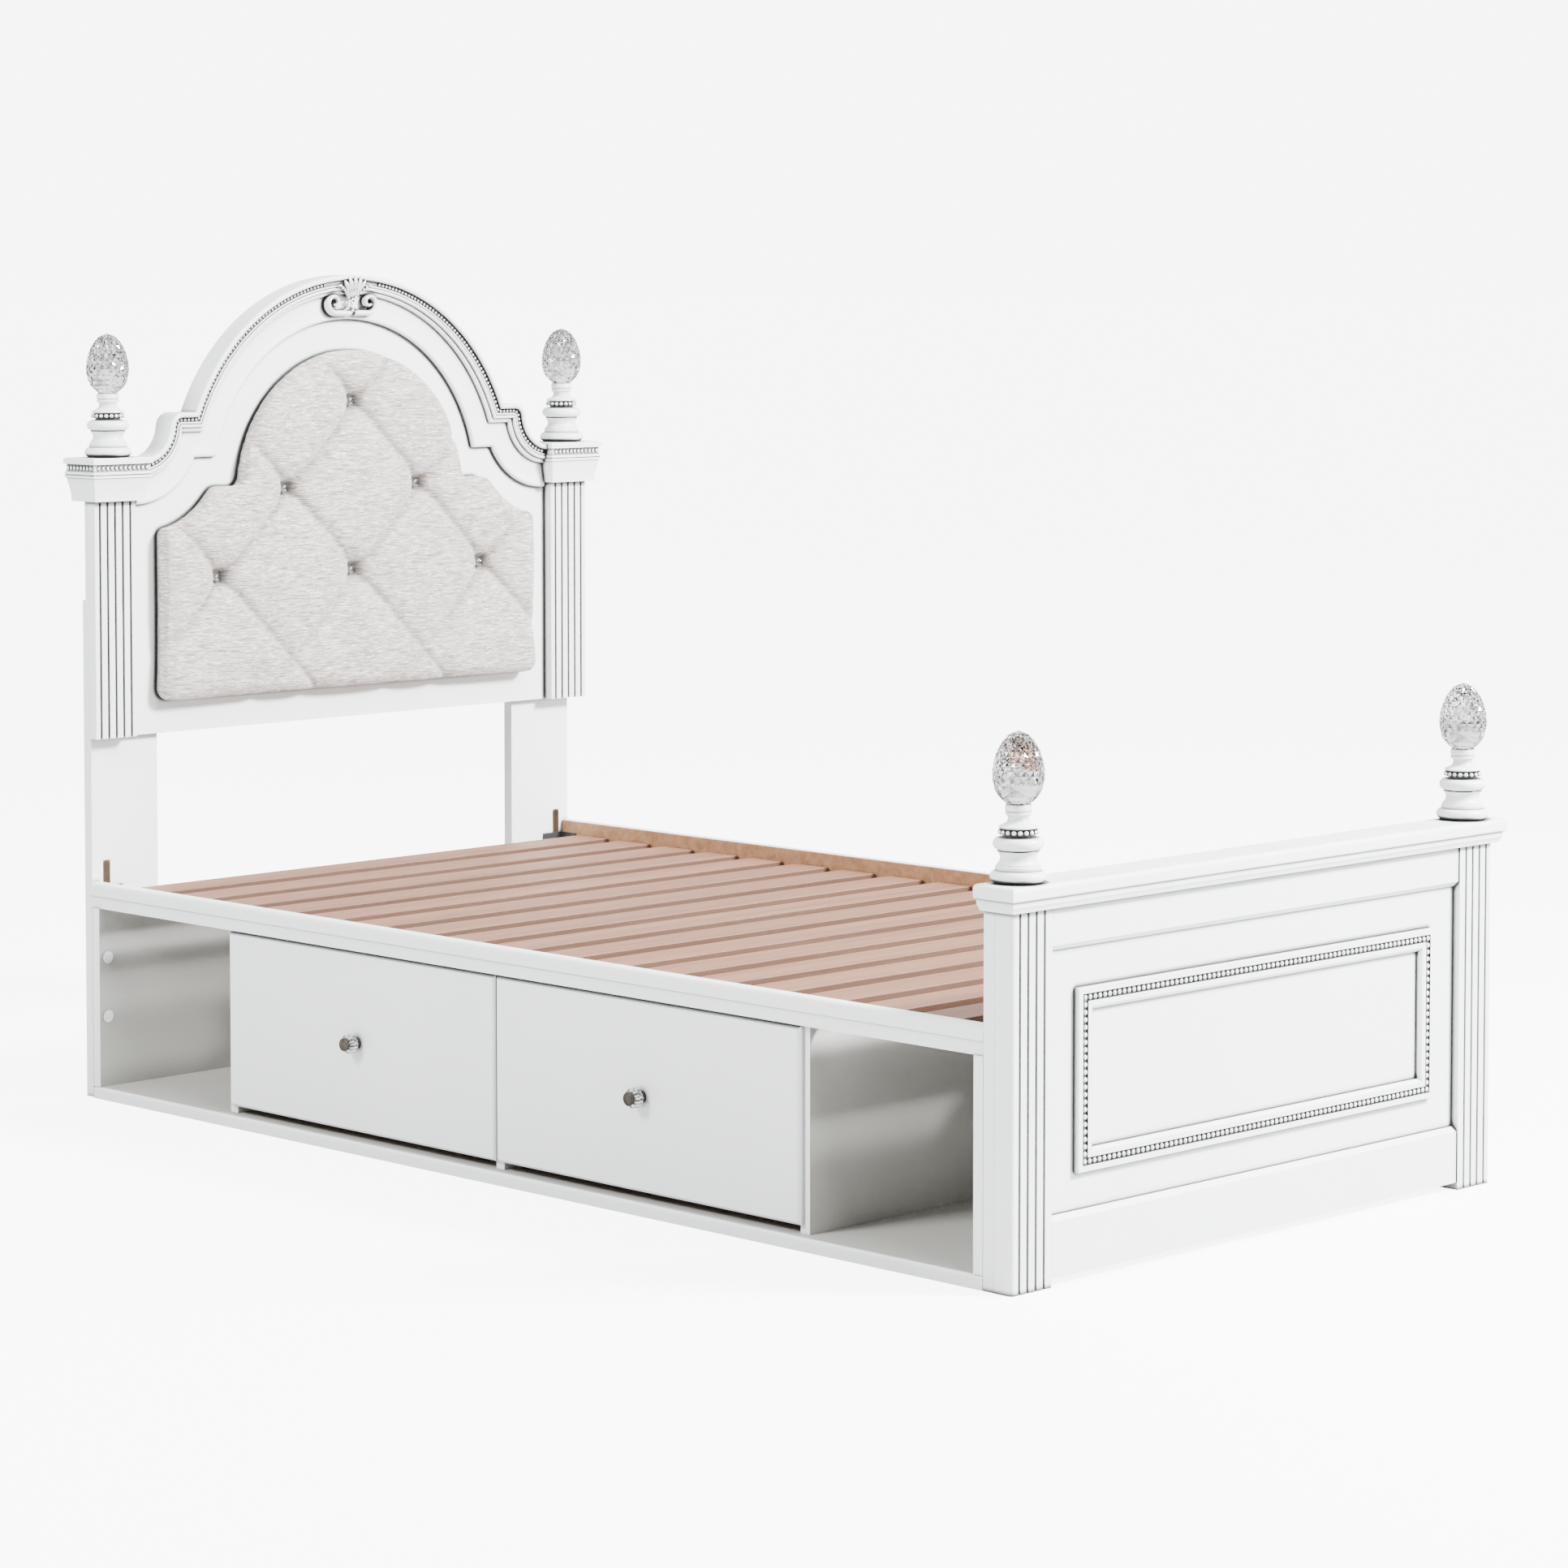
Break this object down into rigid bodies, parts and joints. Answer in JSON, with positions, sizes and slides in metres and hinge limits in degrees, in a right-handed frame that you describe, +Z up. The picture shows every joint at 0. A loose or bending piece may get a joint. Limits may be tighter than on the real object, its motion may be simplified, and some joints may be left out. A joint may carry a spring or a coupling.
{
  "type": "bed frame",
  "caption": "White wooden twin bed frame with an arched tufted headboard, cut-crystal finials, a slatted deck and side storage drawers.",
  "frame": {"origin": "on the floor, at the middle of the bed's footprint", "axes": "+Y from the footboard to the headboard, +X to the right seen from the foot so the drawers open towards -X, +Z up"},
  "size_m": [1.1, 2.045, 1.331],
  "materials": {
    "painted_wood": "cool white satin paint",
    "slat_wood": "bare pale wood",
    "board_brown": "raw brown fibreboard",
    "box_wood": "lacquered pale wood",
    "cushion_fabric": "woven greige fabric with a silvery fleck",
    "crystal": "clear cut crystal",
    "knob_nickel": "satin nickel",
    "runner_steel": "zinc plated",
    "black_steel": "black powder coat",
    "cap_plastic": "white moulded cover cap"
  },
  "bodies": {
    "frame": {"headboard_leg_left": "painted_wood", "pilaster_left": "painted_wood", "capital_left": "painted_wood", "footboard_post_left": "painted_wood", "footboard_stile_left": "painted_wood", "slat_ledge_left": "slat_wood", "headboard_leg_right": "painted_wood", "pilaster_right": "painted_wood", "capital_right": "painted_wood", "footboard_post_right": "painted_wood", "footboard_stile_right": "painted_wood", "slat_ledge_right": "slat_wood", "headboard_panel": "painted_wood", "crown_band": "painted_wood", "crown_moulding": "painted_wood", "crown_cap": "painted_wood", "crown_beads": "painted_wood", "capital_beads": "painted_wood", "crown_ornament": "painted_wood", "headboard_finial_bases": "painted_wood", "footboard_finial_bases": "painted_wood", "finial_beads": "painted_wood", "footboard_top_rail": "painted_wood", "footboard_bottom_rail": "painted_wood", "footboard_panel": "painted_wood", "footboard_moulding": "painted_wood", "footboard_moulding_beads": "painted_wood", "footboard_cap_lower": "painted_wood", "footboard_cap_upper": "painted_wood", "side_rail_left_upper": "painted_wood", "side_rail_left_lower": "painted_wood", "side_rail_right": "painted_wood", "storage_base": "painted_wood", "storage_end_foot": "painted_wood", "storage_end_head": "painted_wood", "storage_divider_foot": "painted_wood", "storage_divider_middle": "painted_wood", "storage_divider_head": "painted_wood", "headboard_cushion": "cushion_fabric", "tuft_buttons": "crystal", "headboard_finial_crystals": "crystal", "footboard_finial_crystals": "crystal", "bed_slats": "slat_wood", "rail_brackets": "black_steel", "bracket_bolts": "black_steel", "storage_back": "board_brown", "cabinet_runners": "runner_steel", "screw_caps": "cap_plastic"},
    "drawer_foot": {"drawer_foot_front": "painted_wood", "drawer_foot_box": "box_wood", "drawer_foot_bottom": "board_brown", "drawer_foot_runners": "runner_steel", "drawer_foot_knob_metal": "knob_nickel", "drawer_foot_knob_glass": "crystal"},
    "drawer_head": {"drawer_head_front": "painted_wood", "drawer_head_box": "box_wood", "drawer_head_bottom": "board_brown", "drawer_head_runners": "runner_steel", "drawer_head_knob_metal": "knob_nickel", "drawer_head_knob_glass": "crystal"}
  },
  "joints": [
    {"name": "drawer_foot_slide", "type": "slide", "parent": "frame", "child": "drawer_foot", "axis": [-1, 0, 0], "range_m": [0, 0.26]},
    {"name": "drawer_head_slide", "type": "slide", "parent": "frame", "child": "drawer_head", "axis": [-1, 0, 0], "range_m": [0, 0.26]}
  ]
}
